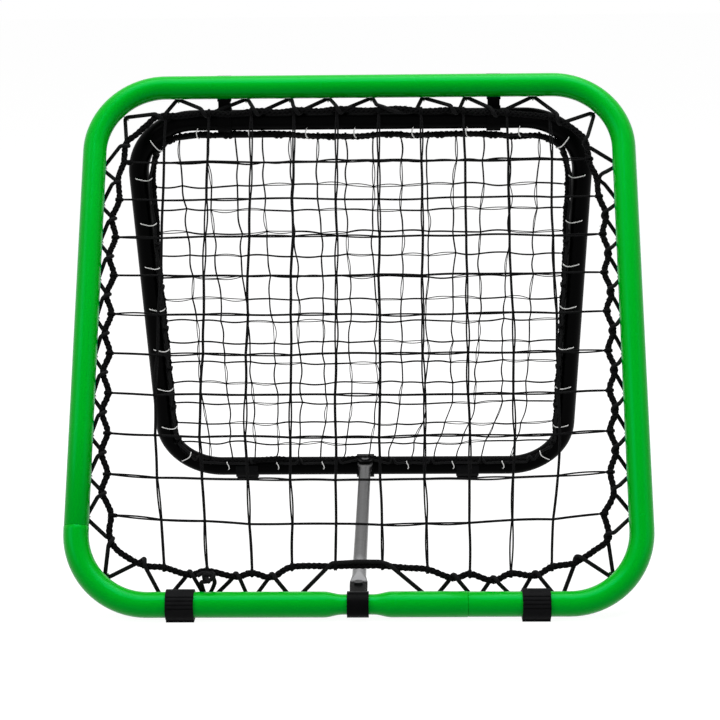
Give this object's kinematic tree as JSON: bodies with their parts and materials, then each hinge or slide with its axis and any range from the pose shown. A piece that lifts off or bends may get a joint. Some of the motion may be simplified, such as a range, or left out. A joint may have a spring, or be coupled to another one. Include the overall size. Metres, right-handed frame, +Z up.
{
  "type": "pitch back rebounder",
  "caption": "Folding ball rebounder: a netted tube frame leaning back on a smaller netted frame, hinged at the top and held apart by a stay between the bottom bars.",
  "frame": {"origin": "on the floor, at the middle of the footprint, between the two bottom bars", "axes": "+Z up; +X along the bars, to the right seen from the front; +Y from the front frame to the rear frame"},
  "size_m": [0.66, 0.5632, 0.5743],
  "materials": {
    "green_paint": "glossy powder coat",
    "black_paint": "satin powder coat",
    "foot_rubber": "moulded, ribbed",
    "hook_wire": "bright zinc wire",
    "elastic_cord": "braided sheath",
    "border_rope": "braided, slightly hairy",
    "net_string": "twisted twine",
    "black_plastic": "moulded satin",
    "bracket_black": "satin black",
    "dark_screw": "blackened steel",
    "stay_steel": "dull drawn tube"
  },
  "bodies": {
    "front_frame": {"front_main_tube": "green_paint", "front_lower_tube": "green_paint", "front_foot_left": "foot_rubber", "front_foot_right": "foot_rubber", "front_hooks": "hook_wire", "front_elastic": "elastic_cord", "front_border_rope": "border_rope", "front_net": "net_string", "stay_socket": "black_plastic", "stay_peg": "dark_screw", "hinge_bracket_left": "bracket_black", "hinge_bracket_right": "bracket_black", "hinge_screws": "dark_screw"},
    "rear_frame": {"rear_tube": "black_paint", "rear_foot_left": "foot_rubber", "rear_foot_right": "foot_rubber", "rear_hooks": "hook_wire", "rear_elastic": "elastic_cord", "rear_border_rope": "border_rope", "rear_net": "net_string"},
    "stay": {"stay_tube": "stay_steel", "stay_pivot_collar": "black_plastic", "stay_rivet": "dark_screw"}
  },
  "joints": [
    {"name": "rear_fold", "type": "hinge", "parent": "front_frame", "child": "rear_frame", "pos_m": [0, 0.05484, 0.5203], "axis": [-1, 0, 0], "range_deg": [0, 52.9]},
    {"name": "stay_swing", "type": "hinge", "parent": "rear_frame", "child": "stay", "pos_m": [0, 0.26587, 0.02], "axis": [1, 0, 0], "range_deg": [0, 291.4]}
  ],
  "couplings": [
    {"joint": "stay_swing", "follows": "rear_fold", "ratio": 5.5084}
  ]
}
